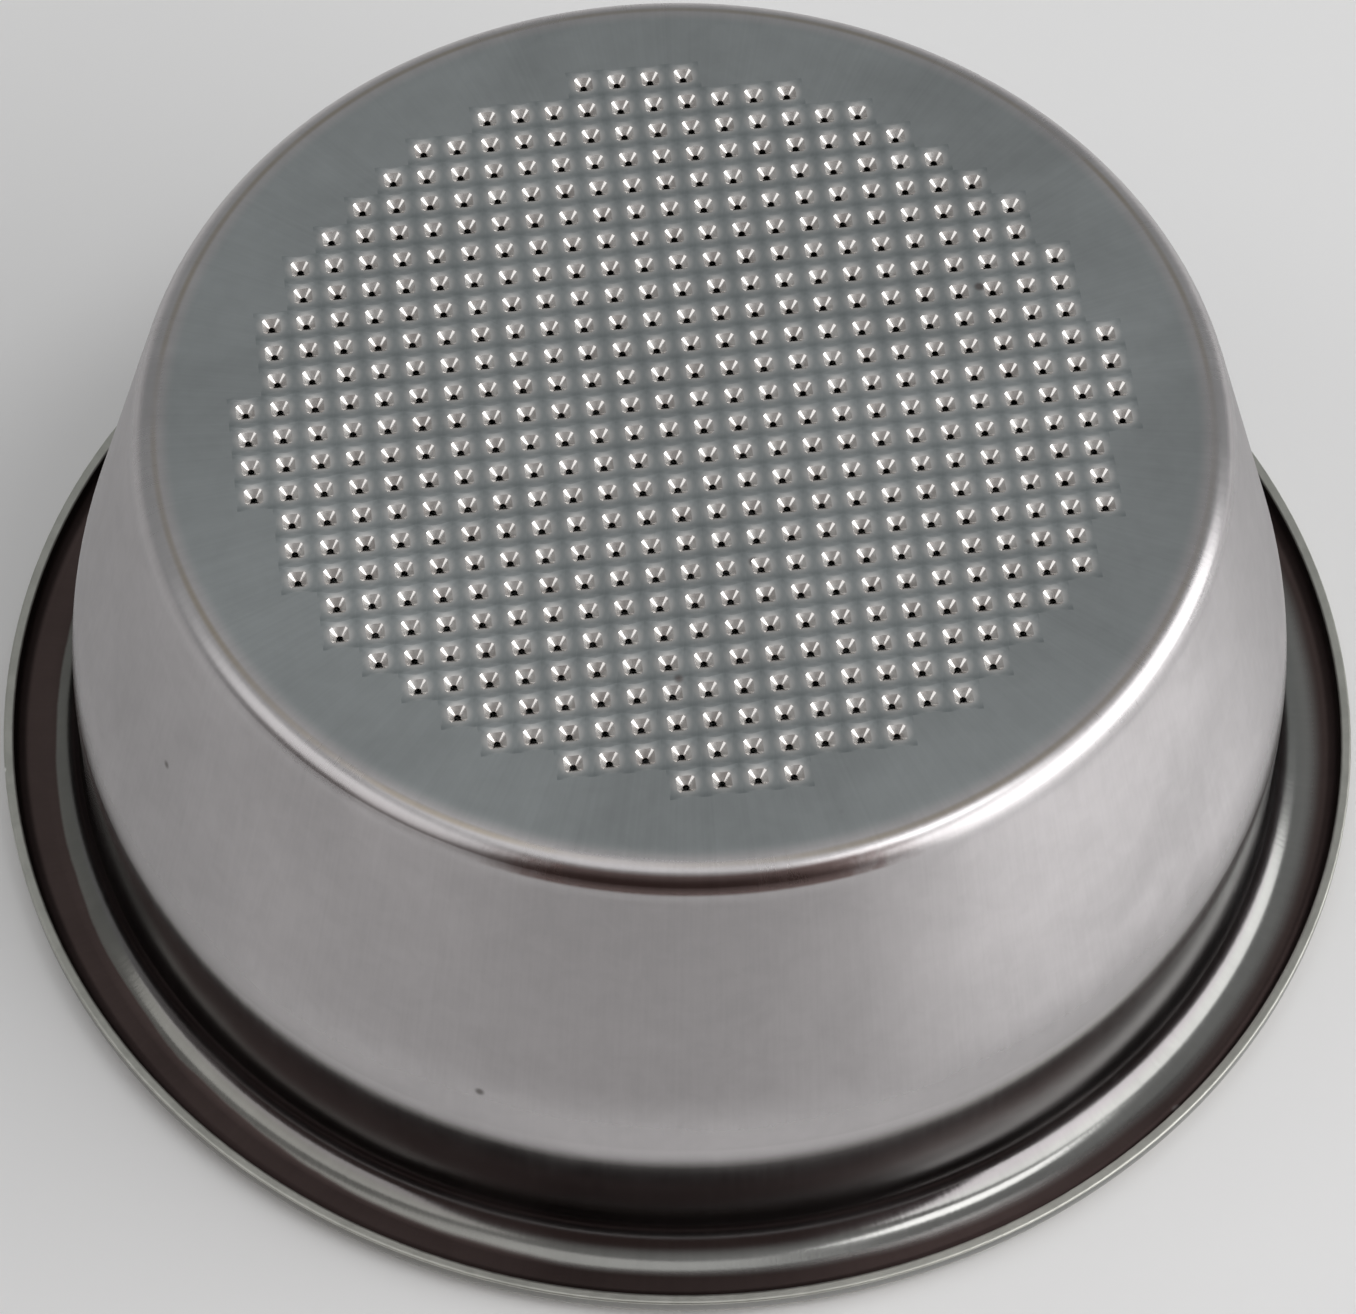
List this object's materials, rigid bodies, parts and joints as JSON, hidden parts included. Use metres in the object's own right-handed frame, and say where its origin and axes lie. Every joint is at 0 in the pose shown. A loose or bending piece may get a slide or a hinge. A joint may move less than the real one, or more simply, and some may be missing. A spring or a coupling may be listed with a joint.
{
  "type": "espresso filter basket",
  "caption": "Round tapered cup of stainless sheet with a flat, finely perforated base, a straight collar and a flanged rim with a turned-up edge, holding ground coffee in a portafilter.",
  "frame": {"origin": "centre of the mouth, in the plane that the rim's flange rests on", "axes": "+Z along the cup's axis from the mouth to the perforated base, +X and +Y along the rows of perforations"},
  "size_m": [0.06, 0.06, 0.0231],
  "materials": {
    "stainless_sheet": "satin drawn stainless sheet, brighter on the collar and rim, dull on the base"
  },
  "bodies": {
    "root": {"filter_basket": "stainless_sheet"}
  },
  "joints": []
}
